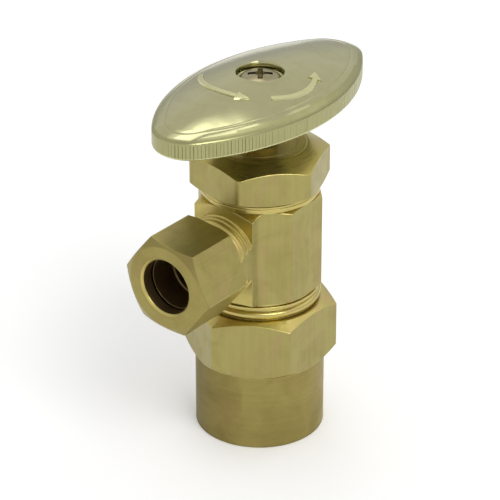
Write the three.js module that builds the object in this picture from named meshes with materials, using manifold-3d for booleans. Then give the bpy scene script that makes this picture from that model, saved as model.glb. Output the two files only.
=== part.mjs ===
// Angle stop valve, multi-turn: 1/2 in. female pipe thread inlet, 3/8 in. OD compression outlet.
// Millimetres, +Z up. The inlet's end face lies on z = 0 with the valve's axis on Z; the outlet
// points along -Y. The valve is drawn closed, with its seat washer on the seat.
import * as THREE from 'three';
import { mergeVertices } from 'three/addons/utils/BufferGeometryUtils.js';
import Module from 'manifold-3d';

const wasm = await Module();
wasm.setup();

// ---- driving dimensions --------------------------------------------------------------------
const GAP = 0.3;                 // air left between pieces that touch in the real valve

const SOCKET_R = 11.6;           // inlet socket, outside radius
const HEX_AF = 24.0;             // lower wrench hexagon
const HEX_Z0 = 14.26;            // where its lower chamfer leaves the socket
const HEX_FLAT_Z0 = 15.98;       // ends of the full-width corner edges
const HEX_FLAT_Z1 = 24.18;
const HEX_Z1 = 25.5;
const COLLAR_R = 10.85;          // turned ring above the hexagon
const MID_Z0 = 28.6;             // eight-sided middle of the body
const MID_Z1 = 46.3;
const MID_FLAT = 10.4;           // axis to each side face
const ARM_HALF = 6.4;            // half width of the arm that carries the outlet
const ARM_FILLET = 2.4;
const NECK_R = 10.55;
const NECK_Z = 46.95;            // top face of the body

const SOCKET_BORE_R = 9.35;      // inlet thread
const SOCKET_DEPTH = 13.5;
const PORT_R = 4.2;
const SEAT_Z = 32.0;
const SEAT_R = 5.2;
const CHAMBER_R = 7.2;
const CHAMBER_FLOOR = 31.2;
const CHAMBER_TOP = 40.8;         // shoulder under the bonnet thread
const BONNET_FOOT = 41.6;
const BONNET_THREAD_R = 8.3;

const OUTLET_Z = 37.7;
const SPUD_R = 7.14;             // 9/16-24 outlet thread
const SPUD_END = 19.5;           // distance of the spud's mouth from the valve's axis
const TUBE_R = 4.95;             // clearance for 3/8 in. tube
const WATERWAY_R = 3.6;
const TUBE_STOP = 13.6;

const NUT_AF = 15.875;           // 5/8 in. across flats
const NUT_FRONT = 26.4;
const NUT_BACK = 15.1;
const NUT_TURN = 52.65;          // one corner of the nut, degrees from +X toward +Z

const BONNET_AF = 22.0;
const BONNET_TURN = 50.3;        // one corner of the bonnet, degrees from +X
const BONNET_CORNER_R = 12.5;    // its corners are turned back to this radius
const BONNET_Z0 = NECK_Z + GAP;
const BONNET_TOP = 55.13;
const PACKING_R = 6.5;
const PACKING_FLOOR = 50.8;

const STEM_R = 3.1;
const STEM_THREAD_R = 4.4;
const STEM_THREAD_Z0 = 36.95;
const STEM_THREAD_Z1 = 46.2;
const STEM_TOP = 64.8;
const SPLINE_R = 2.65;
const SPLINE_Z = 57.3;

const HANDLE_A = 25.85;          // half length
const HANDLE_B = 13.3;           // half width
const HANDLE_END_R = 6.6;        // plan radius of its two ends
const HANDLE_TURN = 90.9;        // direction of its length, degrees from +X
const RIM_Z0 = 61.85;
const RIM_Z1 = 65.45;
const DOME = 3.3;
const SHELL = 1.7;
const HUB_R = 5.2;
const HUB_Z = 57.6;
const FLUTES = 96;               // grooves round the rim
const FLUTE_DEPTH = 0.3;
const FLUTE_HALF = 0.17;         // half a groove's width, as a part of the pitch
const SCREW_WELL_R = 4.1;
const SCREW_WELL_Z = 67.2;
const SCREW_HEAD_R = 3.5;

const TURN = 36;                 // facets round a large circle
const SMALL = 24;                // and round a small one
const RAD = Math.PI / 180;

// ---- solids --------------------------------------------------------------------------------
function toSolid(geometry) {
  const bare = geometry.clone();
  bare.deleteAttribute('normal');
  bare.deleteAttribute('uv');
  const merged = mergeVertices(bare, 1e-4);
  const index = merged.index.array;
  const triangles = [];
  for (let i = 0; i < index.length; i += 3) {
    const [a, b, c] = [index[i], index[i + 1], index[i + 2]];
    if (a !== b && b !== c && c !== a) triangles.push(a, b, c);
  }
  return new wasm.Manifold(new wasm.Mesh({
    numProp: 3,
    vertProperties: new Float32Array(merged.attributes.position.array),
    triVerts: new Uint32Array(triangles),
  }));
}

// turned piece about Z; profile is a closed loop of [radius, height], anticlockwise
function turned(profile, segments = TURN, phase = 0) {
  const loop = profile.map(([r, z]) => new THREE.Vector2(r, z));
  if (profile[0][0] > 0 || profile[profile.length - 1][0] > 0) loop.push(loop[0].clone());
  const g = new THREE.LatheGeometry(loop, segments);
  g.rotateX(Math.PI / 2);
  g.rotateZ(phase * RAD);
  return toSolid(g);
}

function rod(radius, z0, z1, segments = TURN) {
  return turned([[0, z0], [radius, z0], [radius, z1], [0, z1]], segments);
}

function tube(outer, inner, z0, z1, segments = TURN) {
  return turned([[inner, z0], [outer, z0], [outer, z1], [inner, z1]], segments);
}

// upright prism from a plan outline
function prism(points, z0, z1) {
  const shape = new THREE.Shape(points.map(([x, y]) => new THREE.Vector2(x, y)));
  const g = new THREE.ExtrudeGeometry(shape, { depth: z1 - z0, bevelEnabled: false });
  g.translate(0, 0, z0);
  return toSolid(g);
}

function block(x0, x1, y0, y1, z0, z1) {
  return prism([[x0, y0], [x1, y0], [x1, y1], [x0, y1]], z0, z1);
}

function hexagon(acrossFlats, cornerAt) {
  const radius = acrossFlats / 2 / Math.cos(30 * RAD);
  return [0, 1, 2, 3, 4, 5].map((k) => {
    const a = (cornerAt + 60 * k) * RAD;
    return [radius * Math.cos(a), radius * Math.sin(a)];
  });
}

// a piece drawn about Z with its foot at the valve's axis, laid along -Y at the outlet's height
function atOutlet(solid) {
  return solid.rotate([90, 0, 0]).translate([0, 0, OUTLET_Z]);
}

function mesh(name, solid, material) {
  const m = solid.getMesh();
  const g = new THREE.BufferGeometry();
  g.setAttribute('position', new THREE.BufferAttribute(new Float32Array(m.vertProperties), 3));
  g.setIndex(new THREE.BufferAttribute(new Uint32Array(m.triVerts), 1));
  g.computeVertexNormals();
  const out = new THREE.Mesh(g, new THREE.MeshStandardMaterial(material));
  out.name = name;
  return out;
}

const BRASS = { color: 0xa8995e, roughness: 0.36, metalness: 1.0 };
const PALE_BRASS = { color: 0xc9bd8c, roughness: 0.16, metalness: 1.0 };
const SCREW_STEEL = { color: 0xb9b193, roughness: 0.28, metalness: 1.0 };
const RUBBER = { color: 0x1c1c1d, roughness: 0.75, metalness: 0.0 };
const GRAPHITE = { color: 0x3a3a3c, roughness: 0.6, metalness: 0.1 };
const FIBRE = { color: 0x7c3b2a, roughness: 0.85, metalness: 0.0 };

// ---- valve body ----------------------------------------------------------------------------
function bodyHexagon() {
  const corner = HEX_AF / 2 / Math.cos(30 * RAD);
  const lower = (HEX_FLAT_Z0 - HEX_Z0) / (corner - SOCKET_R);
  const upper = (HEX_Z1 - HEX_FLAT_Z1) / (corner - 11.3);
  const beyond = corner + 1;
  const chamfers = turned([
    [0, HEX_Z0 - 0.5], [SOCKET_R, HEX_Z0 - 0.5], [SOCKET_R, HEX_Z0],
    [beyond, HEX_FLAT_Z0 + lower], [beyond, HEX_FLAT_Z1 - upper],
    [11.3, HEX_Z1], [0, HEX_Z1],
  ], 60);
  return prism(hexagon(HEX_AF, 30), HEX_Z0 - 0.5, HEX_Z1).intersect(chamfers);
}

function bodyMiddle() {
  const side = MID_FLAT * Math.tan(22.5 * RAD);
  const root = MID_FLAT * Math.SQRT2 - ARM_HALF;      // where arm and slanted face would meet
  const back = ARM_FILLET * Math.tan(22.5 * RAD);
  const slant = back * Math.SQRT1_2;
  const right = [
    [ARM_HALF, -MID_FLAT], [ARM_HALF, -root - back], [ARM_HALF + 0.2, -root - 0.05],
    [ARM_HALF + slant, -root + slant], [MID_FLAT, -side], [MID_FLAT, side], [side, MID_FLAT],
  ];
  const left = right.map(([x, y]) => [-x, y]).reverse();
  const outline = right.concat(left);
  const envelope = turned([
    [0, MID_Z0], [NECK_R, MID_Z0], [NECK_R + 2, MID_Z0 + 0.6],
    [NECK_R + 2, MID_Z1 - 1.1], [NECK_R, MID_Z1], [0, MID_Z1],
  ]);
  return prism(outline, MID_Z0, MID_Z1).intersect(envelope);
}

// rings left by the turning tool, between hexagon and middle and at the top of the body
function bodyCollars() {
  return turned([
    [0, HEX_Z1 - 1], [10.3, HEX_Z1 - 1], [10.3, HEX_Z1 + 0.2], [10.6, HEX_Z1 + 0.3],
    [COLLAR_R, HEX_Z1 + 0.75], [COLLAR_R, HEX_Z1 + 1.25], [10.6, HEX_Z1 + 1.6],
    [10.15, HEX_Z1 + 1.75], [10.15, HEX_Z1 + 2.0], [10.5, HEX_Z1 + 2.1],
    [10.5, HEX_Z1 + 2.5], [10.1, HEX_Z1 + 2.65], [10.1, MID_Z0 + 1], [0, MID_Z0 + 1],
  ]).add(rod(NECK_R, MID_Z1 - 1, NECK_Z));
}

// the arm is turned round outside the shoulder, and keeps its flat cheeks up to the thread
function outletArm() {
  const cheeks = block(-ARM_HALF, ARM_HALF, -20, 0, 20, 60);
  const neck = atOutlet(turned([
    [0, 8.0], [7.3, 8.0], [7.3, 10.7], [7.0, 10.85], [7.0, 11.2], [7.15, 11.3], [7.15, 11.7],
    [6.85, 11.85], [6.85, 12.3], [7.0, 12.4], [7.0, 12.8], [6.1, 13.3], [6.1, 14.5],
    [0, 14.5],
  ])).intersect(cheeks);
  const spud = atOutlet(turned([
    [0, 13], [5.9, 13], [5.9, 13.7], [SPUD_R, 13.9],
    [SPUD_R, SPUD_END - 0.3], [SPUD_R - 0.25, SPUD_END], [0, SPUD_END],
  ]));
  return neck.add(spud);
}

function bodyWaterway() {
  const bore = turned([
    [0, -1], [SOCKET_BORE_R + 0.9, -1], [SOCKET_BORE_R + 0.9, 0], [SOCKET_BORE_R, 1.0],
    [SOCKET_BORE_R - 0.2, SOCKET_DEPTH], [PORT_R, SOCKET_DEPTH + 2.9], [PORT_R, SEAT_Z],
    [SEAT_R, SEAT_Z], [SEAT_R + 0.4, CHAMBER_FLOOR], [CHAMBER_R, CHAMBER_FLOOR],
    [CHAMBER_R, CHAMBER_TOP], [BONNET_THREAD_R + GAP, CHAMBER_TOP + 0.4],
    [BONNET_THREAD_R + GAP, NECK_Z - 0.95], [9.6, NECK_Z - 0.95], [9.6, NECK_Z + 1],
    [0, NECK_Z + 1],
  ]);
  const outlet = atOutlet(turned([
    [0, 0], [WATERWAY_R, 0], [WATERWAY_R, TUBE_STOP], [TUBE_R, TUBE_STOP],
    [TUBE_R, SPUD_END - 1.65], [6.6, SPUD_END], [6.6, SPUD_END + 1], [0, SPUD_END + 1],
  ], SMALL));
  return bore.add(outlet);
}

function valveBody() {
  return rod(SOCKET_R, 0, HEX_Z0 + 0.2)
    .add(bodyHexagon()).add(bodyCollars()).add(bodyMiddle()).add(outletArm())
    .subtract(bodyWaterway());
}

// ---- bonnet and what it holds --------------------------------------------------------------
function bonnet() {
  const slope = 0.47;
  const reach = BONNET_CORNER_R - 8.6;
  const envelope = turned([
    [0, 47.8], [10.6, 47.8], [BONNET_CORNER_R, 48.7],
    [BONNET_CORNER_R, BONNET_TOP - reach * slope], [8.6, BONNET_TOP], [0, BONNET_TOP],
  ], 72);
  const foot = turned([
    [0, BONNET_FOOT], [BONNET_THREAD_R - 0.6, BONNET_FOOT],
    [BONNET_THREAD_R, BONNET_FOOT + 0.6], [BONNET_THREAD_R, BONNET_Z0],
    [10.5, BONNET_Z0], [10.5, 47.6], [10.15, 47.7], [10.15, 48.4], [0, 48.4],
  ]);
  const bore = turned([
    [0, CHAMBER_TOP - 1], [STEM_THREAD_R + GAP, CHAMBER_TOP - 1],
    [STEM_THREAD_R + GAP, PACKING_FLOOR], [PACKING_R, PACKING_FLOOR],
    [PACKING_R, BONNET_TOP + 1], [0, BONNET_TOP + 1],
  ]);
  return prism(hexagon(BONNET_AF, BONNET_TURN), 47.8, BONNET_TOP).intersect(envelope)
    .add(foot).subtract(bore);
}

function bonnetGasket() {
  return tube(9.3, BONNET_THREAD_R + GAP, NECK_Z - 0.65, NECK_Z, TURN);
}

function packingWasher() {
  return tube(PACKING_R - GAP, STEM_R + GAP, 51.1, 51.6, SMALL);
}

function packingRing() {
  return tube(PACKING_R - GAP, STEM_R + GAP, 51.9, 53.7, SMALL);
}

// threaded gland with two key slots, screwed down on the packing
function glandRing() {
  const slot = block(-8, 8, -0.6, 0.6, 54.9, 56).rotate([0, 0, 20]);
  return turned([
    [STEM_R + GAP, 54.0], [PACKING_R - GAP, 54.0], [PACKING_R - GAP, 55.2],
    [PACKING_R - GAP - 0.3, 55.5], [STEM_R + GAP, 55.5],
  ], SMALL).subtract(slot);
}

// ---- stem ----------------------------------------------------------------------------------
function splinedEnd() {
  const teeth = 16;
  const outline = [];
  for (let k = 0; k < 2 * teeth; k += 1) {
    const r = k % 2 ? SPLINE_R : SPLINE_R - 0.3;
    outline.push([r * Math.cos(Math.PI * k / teeth), r * Math.sin(Math.PI * k / teeth)]);
  }
  return prism(outline, SPLINE_Z - 0.2, STEM_TOP);
}

function stem() {
  const shaft = turned([
    [0, 35.8], [2.9, 35.8], [2.9, STEM_THREAD_Z0], [STEM_THREAD_R - 0.5, STEM_THREAD_Z0],
    [STEM_THREAD_R, STEM_THREAD_Z0 + 0.5], [STEM_THREAD_R, STEM_THREAD_Z1 - 0.5],
    [STEM_THREAD_R - 0.5, STEM_THREAD_Z1], [STEM_R, STEM_THREAD_Z1 + 0.2],
    [STEM_R, SPLINE_Z - 0.3], [SPLINE_R, SPLINE_Z], [0, SPLINE_Z],
  ], SMALL);
  return shaft.add(splinedEnd())
    .subtract(rod(1.9, 35, 39.2, 24)).subtract(rod(1.9, 57, STEM_TOP + 1, 24));
}

// cup that carries the seat washer and swivels on the stem's foot
function seatHolder() {
  return turned([
    [1.95, 34.6], [5.3, 34.6], [5.3, 33.4], [5.7, 33.4], [5.7, 36.3], [5.3, 36.7],
    [3.2, 36.7], [3.2, 35.5], [1.95, 35.5],
  ], SMALL);
}

function seatWasher() {
  return turned([
    [1.95, SEAT_Z + GAP], [4.8, SEAT_Z + GAP], [5.0, SEAT_Z + GAP + 0.2], [5.0, 34.3],
    [1.95, 34.3],
  ], SMALL);
}

function washerScrew() {
  const slot = block(-4, 4, -0.35, 0.35, 30.5, 31.5);
  return turned([
    [0, 31.0], [2.3, 31.0], [2.7, 31.4], [2.7, 32.0], [1.6, 32.0], [1.6, 38.4], [0, 38.9],
  ], 24).subtract(slot);
}

// ---- outlet nut and sleeve -----------------------------------------------------------------
function compressionNut() {
  const corner = NUT_AF / 2 / Math.cos(30 * RAD);
  const envelope = turned([
    [0, NUT_BACK], [corner - 0.75, NUT_BACK], [corner + 0.3, NUT_BACK + 0.65],
    [corner + 0.3, NUT_FRONT - 1.0], [7.5, NUT_FRONT], [0, NUT_FRONT],
  ], 48);
  const bore = turned([
    [0, NUT_BACK - 1], [SPUD_R + GAP + 0.3, NUT_BACK - 1], [SPUD_R + GAP + 0.3, NUT_BACK],
    [SPUD_R + GAP, NUT_BACK + 0.4], [SPUD_R + GAP, 21.6], [6.3, 22.6], [5.3, 24.0],
    [TUBE_R, 24.0], [TUBE_R, NUT_FRONT - 0.35], [TUBE_R + 0.35, NUT_FRONT],
    [TUBE_R + 0.35, NUT_FRONT + 1], [0, NUT_FRONT + 1],
  ], TURN);
  return atOutlet(prism(hexagon(NUT_AF, NUT_TURN), NUT_BACK, NUT_FRONT)
    .intersect(envelope).subtract(bore));
}

function ferrule() {
  return atOutlet(turned([
    [4.8, 18.5], [5.15, 18.5], [5.85, 19.7], [5.85, 21.9], [5.0, 23.6], [4.8, 23.6],
  ], SMALL));
}

// ---- handle --------------------------------------------------------------------------------
// plan outline: two long arcs joined by two end arcs. Each step is [part of the way round, depth
// below the outline].
function oval(a, b, endR, steps) {
  const longR = ((a - endR) ** 2 + b * b - endR * endR) / (2 * (b - endR));
  const meet = Math.atan2(longR - b, a - endR);
  const endLen = endR * meet;
  const quarter = endLen + longR * (Math.PI / 2 - meet);
  return steps.map(([part, depth]) => {
    const s = 4 * quarter * part;
    const q = Math.floor(s / quarter);
    const t = q % 2 ? quarter - (s - q * quarter) : s - q * quarter;
    const small = t < endLen;
    const angle = small ? t / endR : meet + (t - endLen) / longR;
    const r = (small ? endR : longR) - depth;
    const x = (small ? a - endR : 0) + r * Math.cos(angle);
    const y = (small ? 0 : b - longR) + r * Math.sin(angle);
    return [q === 0 || q === 3 ? x : -x, q < 2 ? y : -y];
  });
}

function evenSteps(count) {
  return Array.from({ length: count }, (_, i) => [i / count, 0]);
}

// narrow grooves between wide lands
function flutedSteps() {
  const steps = [];
  for (let k = 0; k < FLUTES; k += 1) {
    const middle = k + 0.5;
    steps.push([(middle - FLUTE_HALF) / FLUTES, 0], [middle / FLUTES, FLUTE_DEPTH],
      [(middle + FLUTE_HALF) / FLUTES, 0]);
  }
  return steps;
}

// solid with a flat foot, an upright side and a domed top, over an oval plan
function domed(a, b, endR, z0, z1, rise, count) {
  const plan = oval(a, b, endR, evenSteps(count));
  const steps = [1, 0.93, 0.8, 0.62, 0.4, 0.2];
  const rings = [[1, z0]].concat(steps.map((s) => [s, z1 + rise * (1 - s * s)]));
  const position = [0, 0, z0];
  rings.forEach(([s, z]) => plan.forEach(([x, y]) => position.push(x * s, y * s, z)));
  position.push(0, 0, z1 + rise);
  const apex = position.length / 3 - 1;
  const index = [];
  for (let i = 0; i < count; i += 1) {
    const j = (i + 1) % count;
    index.push(0, 1 + j, 1 + i);
    for (let k = 0; k + 1 < rings.length; k += 1) {
      const [p, q] = [1 + k * count, 1 + (k + 1) * count];
      index.push(p + i, p + j, q + j, p + i, q + j, q + i);
    }
    const last = 1 + (rings.length - 1) * count;
    index.push(last + i, last + j, apex);
  }
  const g = new THREE.BufferGeometry();
  g.setAttribute('position', new THREE.Float32BufferAttribute(position, 3));
  g.setIndex(index);
  return toSolid(g);
}

function handle() {
  const rim = prism(oval(HANDLE_A, HANDLE_B, HANDLE_END_R, flutedSteps()),
    RIM_Z0, RIM_Z1 + DOME + 1);
  const top = domed(HANDLE_A + 0.4, HANDLE_B + 0.4, HANDLE_END_R + 0.4,
    RIM_Z0 - 1, RIM_Z1 - 0.15, DOME + 0.15, 56);
  const hollow = domed(HANDLE_A - SHELL, HANDLE_B - SHELL, HANDLE_END_R - SHELL,
    RIM_Z0 - 1, RIM_Z1 - 0.9, DOME - 0.6, 44);
  const rib = block(-HANDLE_A + 1, HANDLE_A - 1, -0.7, 0.7, RIM_Z0 + 1.2, RIM_Z1 + 0.2);
  const web = block(-0.7, 0.7, -HANDLE_B + 1, HANDLE_B - 1, RIM_Z0 + 1.2, RIM_Z1 + 0.2);
  const hub = turned([
    [0, HUB_Z], [HUB_R - 0.3, HUB_Z], [HUB_R, HUB_Z + 0.3], [HUB_R + 0.4, RIM_Z1 + 1],
    [0, RIM_Z1 + 1],
  ], SMALL);
  const bore = turned([
    [0, HUB_Z - 1], [SPLINE_R + GAP, HUB_Z - 1], [SPLINE_R + GAP, STEM_TOP + GAP],
    [1.95, STEM_TOP + GAP], [1.95, 65.7], [SCREW_WELL_R, SCREW_WELL_Z],
    [SCREW_WELL_R, 70], [0, 70],
  ], SMALL);
  return rim.intersect(top).subtract(hollow).add(rib).add(web).add(hub).subtract(bore)
    .rotate([0, 0, HANDLE_TURN]);
}

// oval-head screw with a cross recess
function handleScrew() {
  const seatSlope = (SCREW_WELL_Z - 65.7) / (SCREW_WELL_R - 1.95);
  const edge = 67.5;
  const underside = edge - 0.15 - (SCREW_HEAD_R - 1.6) * seatSlope;
  const body = turned([
    [0, 58.4], [1.2, 58.4], [1.6, 58.9], [1.6, underside], [SCREW_HEAD_R, edge - 0.15],
    [SCREW_HEAD_R, edge], [3.2, edge + 0.25], [2.4, edge + 0.53], [1.2, edge + 0.7],
    [0, edge + 0.74],
  ], SMALL);
  const wing = block(-2.0, 2.0, -0.38, 0.38, edge - 0.3, 70);
  const cross = wing.add(wing.rotate([0, 0, 90])).rotate([0, 0, 38]);
  return body.subtract(cross);
}

// ---- the valve -----------------------------------------------------------------------------
const valve = new THREE.Group();
valve.name = 'angle_stop_valve';
valve.add(
  mesh('valve_body', valveBody(), BRASS),
  mesh('bonnet', bonnet(), BRASS),
  mesh('bonnet_gasket', bonnetGasket(), FIBRE),
  mesh('packing_washer', packingWasher(), BRASS),
  mesh('packing_ring', packingRing(), GRAPHITE),
  mesh('gland_ring', glandRing(), BRASS),
  mesh('stem', stem(), BRASS),
  mesh('seat_holder', seatHolder(), BRASS),
  mesh('seat_washer', seatWasher(), RUBBER),
  mesh('washer_screw', washerScrew(), BRASS),
  mesh('compression_nut', compressionNut(), BRASS),
  mesh('ferrule', ferrule(), BRASS),
  mesh('handle', handle(), PALE_BRASS),
  mesh('handle_screw', handleScrew(), SCREW_STEEL),
);

export default valve;
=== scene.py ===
"""Angle stop valve: the looks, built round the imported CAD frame.

Lengths in the helpers are millimetres in the part's own frame: Z is the valve's axis with the inlet
face at 0, and the outlet points along -Y. Meshes are scaled to metres when they are made."""

import math

import bmesh
import bpy
import numpy as np
from mathutils import Matrix, Vector


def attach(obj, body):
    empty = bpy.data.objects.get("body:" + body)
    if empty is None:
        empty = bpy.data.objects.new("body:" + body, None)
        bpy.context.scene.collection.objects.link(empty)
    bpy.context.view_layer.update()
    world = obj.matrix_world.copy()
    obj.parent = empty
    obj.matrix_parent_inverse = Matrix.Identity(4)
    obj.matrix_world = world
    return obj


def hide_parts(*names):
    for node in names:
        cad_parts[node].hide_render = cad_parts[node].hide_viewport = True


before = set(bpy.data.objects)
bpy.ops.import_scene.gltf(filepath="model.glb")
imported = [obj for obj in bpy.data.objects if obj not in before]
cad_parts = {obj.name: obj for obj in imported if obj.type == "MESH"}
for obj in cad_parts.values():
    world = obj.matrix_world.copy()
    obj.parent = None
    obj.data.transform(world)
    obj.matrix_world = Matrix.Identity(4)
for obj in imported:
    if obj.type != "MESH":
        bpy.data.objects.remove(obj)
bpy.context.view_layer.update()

MM = 0.001
SHARP_EDGE = math.radians(25)
ROUNDING_STEP = math.radians(18)

# ---- sizes shared by the pieces -------------------------------------------------------------
SOCKET_R, SOCKET_BORE_R, SOCKET_DEPTH = 11.6, 9.35, 13.5
HEX_AF, HEX_Z0, HEX_FLAT_Z0, HEX_FLAT_Z1, HEX_Z1 = 24.0, 14.26, 15.98, 24.18, 25.5
HEX_TOP_R = 11.3
MID_Z0, MID_Z1, MID_FLAT, ARM_HALF, ARM_FILLET = 28.6, 46.3, 10.4, 6.4, 2.4
NECK_R, NECK_Z = 10.55, 47.2
PORT_R, SEAT_R, SEAT_Z, CHAMBER_R, CHAMBER_FLOOR, CHAMBER_TOP = 4.2, 5.2, 32.0, 7.2, 31.2, 40.8
BONNET_THREAD_R, BONNET_PITCH, RECESS_R, RECESS_Z, INLET_PITCH = 8.3, 1.0, 9.6, 46.0, 25.4 / 14
OUTLET_Z, SPUD_R, SPUD_END, SPUD_PITCH = 37.7, 7.14, 19.5, 25.4 / 24
TUBE_R, WATERWAY_R, TUBE_STOP, MOUTH_R, ARM_ROOT = 4.95, 3.6, 13.6, 6.6, 8.0
NUT_AF, NUT_BACK, NUT_FRONT, NUT_TURN = 15.875, 15.1, 26.4, 52.65
NUT_FACE_R, NUT_BEVEL, NUT_THROAT = 7.5, 0.75, 24.0
BONNET_AF, BONNET_TURN, BONNET_CORNER_R, BONNET_TOP = 22.0, 50.3, 12.5, 55.13
BONNET_COLLAR_R, BONNET_FACE_R, BONNET_FOOT = 10.6, 8.6, 41.6
PACKING_R, PACKING_FLOOR = 6.5, 50.8
STEM_R, STEM_THREAD_R, STEM_PITCH = 3.1, 4.4, 1.5875
SPLINE_R, SPLINE_DEPTH, SPLINE_TEETH, SPLINE_Z0, SPLINE_Z1 = 2.5, 0.15, 16, 57.35, 64.5
TAP_R, SCREW_SHANK_R = 1.9, 1.6
HANDLE_A, HANDLE_B, HANDLE_END_R, HANDLE_TURN = 25.85, 13.3, 6.6, 90.9
RIM_Z0, RIM_Z1, DOME, SHELL, SHOULDER = 61.85, 65.45, 3.3, 1.7, 2.2
HUB_R, HUB_Z, HUB_BORE_R, HUB_BORE_TOP, HUB_HOLE_R = 5.2, 57.6, 2.95, 65.1, 1.95
RIB_HALF, RIB_TOP, FLUTES, FLUTE_DEPTH = 0.7, 65.5, 96, 0.12
WELL_R, WELL_Z, SCREW_HEAD_R, SCREW_TURN = 4.1, 67.2, 3.5, 38
GAP = 0.3
INSET = 0.02    # holds the handle inside the CAD's own outline


# ---- mesh helpers ---------------------------------------------------------------------------
def axis_z(r, along, theta):
    return np.stack([r * np.cos(theta), r * np.sin(theta), along], -1)


def axis_outlet(r, along, theta):
    return np.stack([r * np.cos(theta), -along, OUTLET_Z + r * np.sin(theta)], -1)


def soften(nodes, theta, closed=True):
    """Profile nodes (radius, height, corner size), each a number or one value per column, made into
    rows with a rounded corner at every node whose corner size is above 0."""
    full = [(np.broadcast_to(np.asarray(r, float), theta.shape),
             np.broadcast_to(np.asarray(z, float), theta.shape), e) for r, z, e in nodes]
    rows = []
    for i, (r, z, e) in enumerate(full):
        here = np.stack([r, z])
        if e <= 0 or (not closed and i in (0, len(full) - 1)):
            rows.append(here)
            continue
        before = np.stack(full[i - 1][:2]) - here
        after = np.stack(full[(i + 1) % len(full)][:2]) - here
        lb = np.maximum(np.hypot(*before), 1e-9)
        la = np.maximum(np.hypot(*after), 1e-9)
        cosine = np.clip(-(before * after).sum(0) / (lb * la), -1, 1)
        count = 1 + max(1, math.ceil(float(np.median(np.arccos(cosine))) / ROUNDING_STEP))
        p0 = here + before / lb * np.minimum(e, 0.45 * lb)
        p2 = here + after / la * np.minimum(e, 0.45 * la)
        for t in np.linspace(0, 1, count):
            rows.append((1 - t) ** 2 * p0 + 2 * t * (1 - t) * here + t * t * p2)
    return rows


def add_object(name, data):
    obj = bpy.data.objects.new(name, data)
    bpy.context.scene.collection.objects.link(obj)
    return obj


def mesh_of_points(name, grid, closed):
    """grid is rows x columns x 3 in millimetres; columns wrap round, and rows do when closed."""
    k, n = grid.shape[:2]
    verts = (grid.reshape(-1, 3) * MM).tolist()
    last = k if closed else k - 1
    faces = [(i * n + j, i * n + (j + 1) % n,
              ((i + 1) % k) * n + (j + 1) % n, ((i + 1) % k) * n + j)
             for i in range(last) for j in range(n)]
    mesh = bpy.data.meshes.new(name)
    mesh.from_pydata(verts, [], faces)
    bm = bmesh.new()
    bm.from_mesh(mesh)
    bmesh.ops.remove_doubles(bm, verts=bm.verts, dist=2e-7)
    bmesh.ops.dissolve_degenerate(bm, edges=bm.edges, dist=1e-7)
    bmesh.ops.recalc_face_normals(bm, faces=bm.faces)
    bm.to_mesh(mesh)
    bm.free()
    return add_object(name, mesh)


def around(name, rows, theta, place=axis_z, closed=True):
    return mesh_of_points(name, np.stack([place(r, z, theta) for r, z in rows]), closed)


def circle(count):
    return np.linspace(0, 2 * np.pi, count, endpoint=False)


def centred(r, low, high):
    """Profile of a plain solid cylinder."""
    return [(0, low, 0), (r, low, 0), (r, high, 0), (0, high, 0)]


def flat_ring(r0, r1, z0, z1, corner):
    """Profile of a washer."""
    return [(r0, z0, corner), (r1, z0, corner), (r1, z1, corner), (r0, z1, corner)]


def turned(name, nodes, count=128, place=axis_z, closed=True):
    theta = circle(count)
    return around(name, soften(nodes, theta, closed), theta, place, closed)


def box(name, low, high, turn=0.0):
    """Box between two corners, turned about the valve's axis by degrees."""
    mesh = bpy.data.meshes.new(name)
    bm = bmesh.new()
    bmesh.ops.create_cube(bm, size=1.0)
    lo, hi = Vector(low) * MM, Vector(high) * MM
    bmesh.ops.scale(bm, vec=hi - lo, verts=bm.verts)
    bmesh.ops.translate(bm, vec=(lo + hi) / 2, verts=bm.verts)
    bmesh.ops.rotate(bm, cent=(0, 0, 0), matrix=Matrix.Rotation(math.radians(turn), 3, "Z"),
                     verts=bm.verts)
    bm.to_mesh(mesh)
    bm.free()
    return add_object(name, mesh)


def cut(obj, other, operation):
    """Boolean with another solid, applied at once; the other solid is used up."""
    mod = obj.modifiers.new("cut", "BOOLEAN")
    mod.operation = operation
    mod.object = other
    mod.solver = "MANIFOLD"
    bpy.context.view_layer.update()
    evaluated = obj.evaluated_get(bpy.context.evaluated_depsgraph_get())
    done = bpy.data.meshes.new_from_object(evaluated)
    obj.modifiers.clear()
    obj.data = done
    bpy.data.objects.remove(other)


def hexagon_corner(across):
    return across / 2 / math.cos(math.pi / 6)


def hexagon_plan(across, corner_deg, corner_r):
    radius = hexagon_corner(across)
    angles = [math.radians(corner_deg) + 2 * math.pi * k / 6 for k in range(6)]
    return rounded([(radius * math.cos(a), radius * math.sin(a)) for a in angles], corner_r)


def rounded(points, radii, arc=5):
    """Closed outline with its corners rounded; radii is one number or one for each corner."""
    pts = [np.array(p, float) for p in points]
    if isinstance(radii, (int, float)):
        radii = [radii] * len(pts)
    out = []
    for i, p in enumerate(pts):
        a, b = pts[i - 1] - p, pts[(i + 1) % len(pts)] - p
        la, lb = np.linalg.norm(a), np.linalg.norm(b)
        turn = math.pi - math.acos(np.clip(a @ b / la / lb, -1, 1))
        if radii[i] <= 0 or turn < 1e-3:
            out.append(p)
            continue
        reach = min(radii[i] * math.tan(turn / 2), 0.49 * la, 0.49 * lb)
        p0, p2 = p + a / la * reach, p + b / lb * reach
        weight = math.cos(turn / 2)
        for t in np.linspace(0, 1, arc):
            w0, w1, w2 = (1 - t) ** 2, 2 * t * (1 - t) * weight, t * t
            out.append((w0 * p0 + w1 * p + w2 * p2) / (w0 + w1 + w2))
    return np.array(out)


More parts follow.
